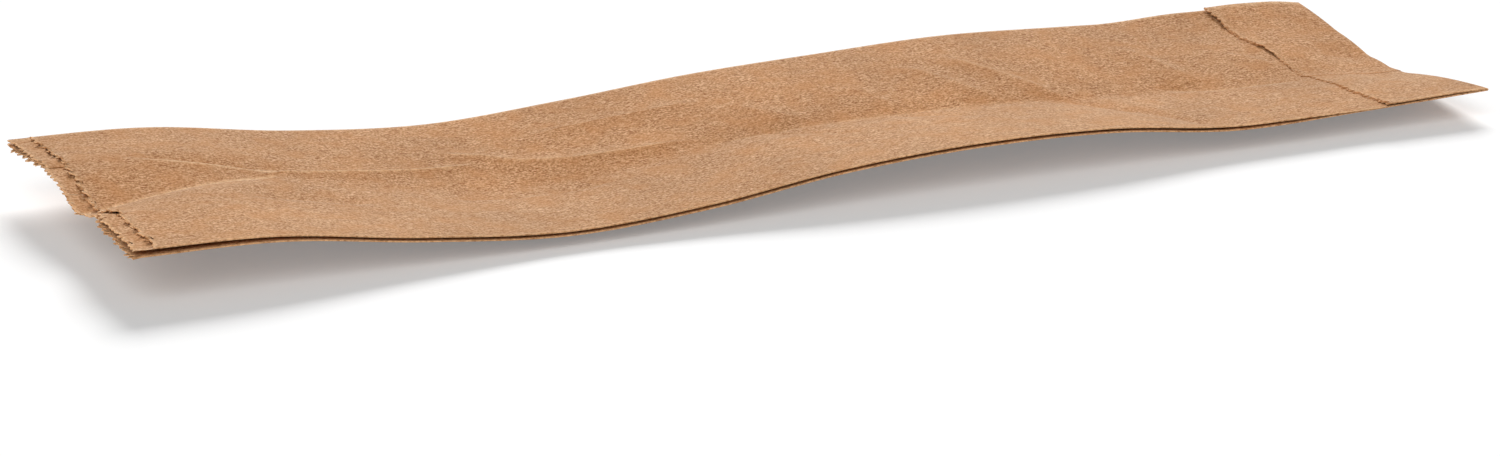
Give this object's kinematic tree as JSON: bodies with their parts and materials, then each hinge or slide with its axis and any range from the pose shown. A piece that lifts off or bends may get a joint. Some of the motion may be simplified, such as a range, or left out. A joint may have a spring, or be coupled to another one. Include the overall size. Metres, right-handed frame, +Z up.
{
  "type": "paper wine bottle bag",
  "caption": "Flat-folded kraft paper bottle bag with side gussets, a toothed mouth with a short lip, and a bottom end folded over and glued; lies in a soft wave.",
  "frame": {"origin": "on the table, under the middle of the bag's length and width", "axes": "+X from the mouth to the bottom fold, +Y from the near side to the far side, +Z up"},
  "size_m": [0.406, 0.108, 0.016],
  "materials": {
    "kraft_paper": "matte, uncoated, fine fibre grain"
  },
  "bodies": {
    "root": {"bottle_bag": "kraft_paper"}
  },
  "joints": []
}
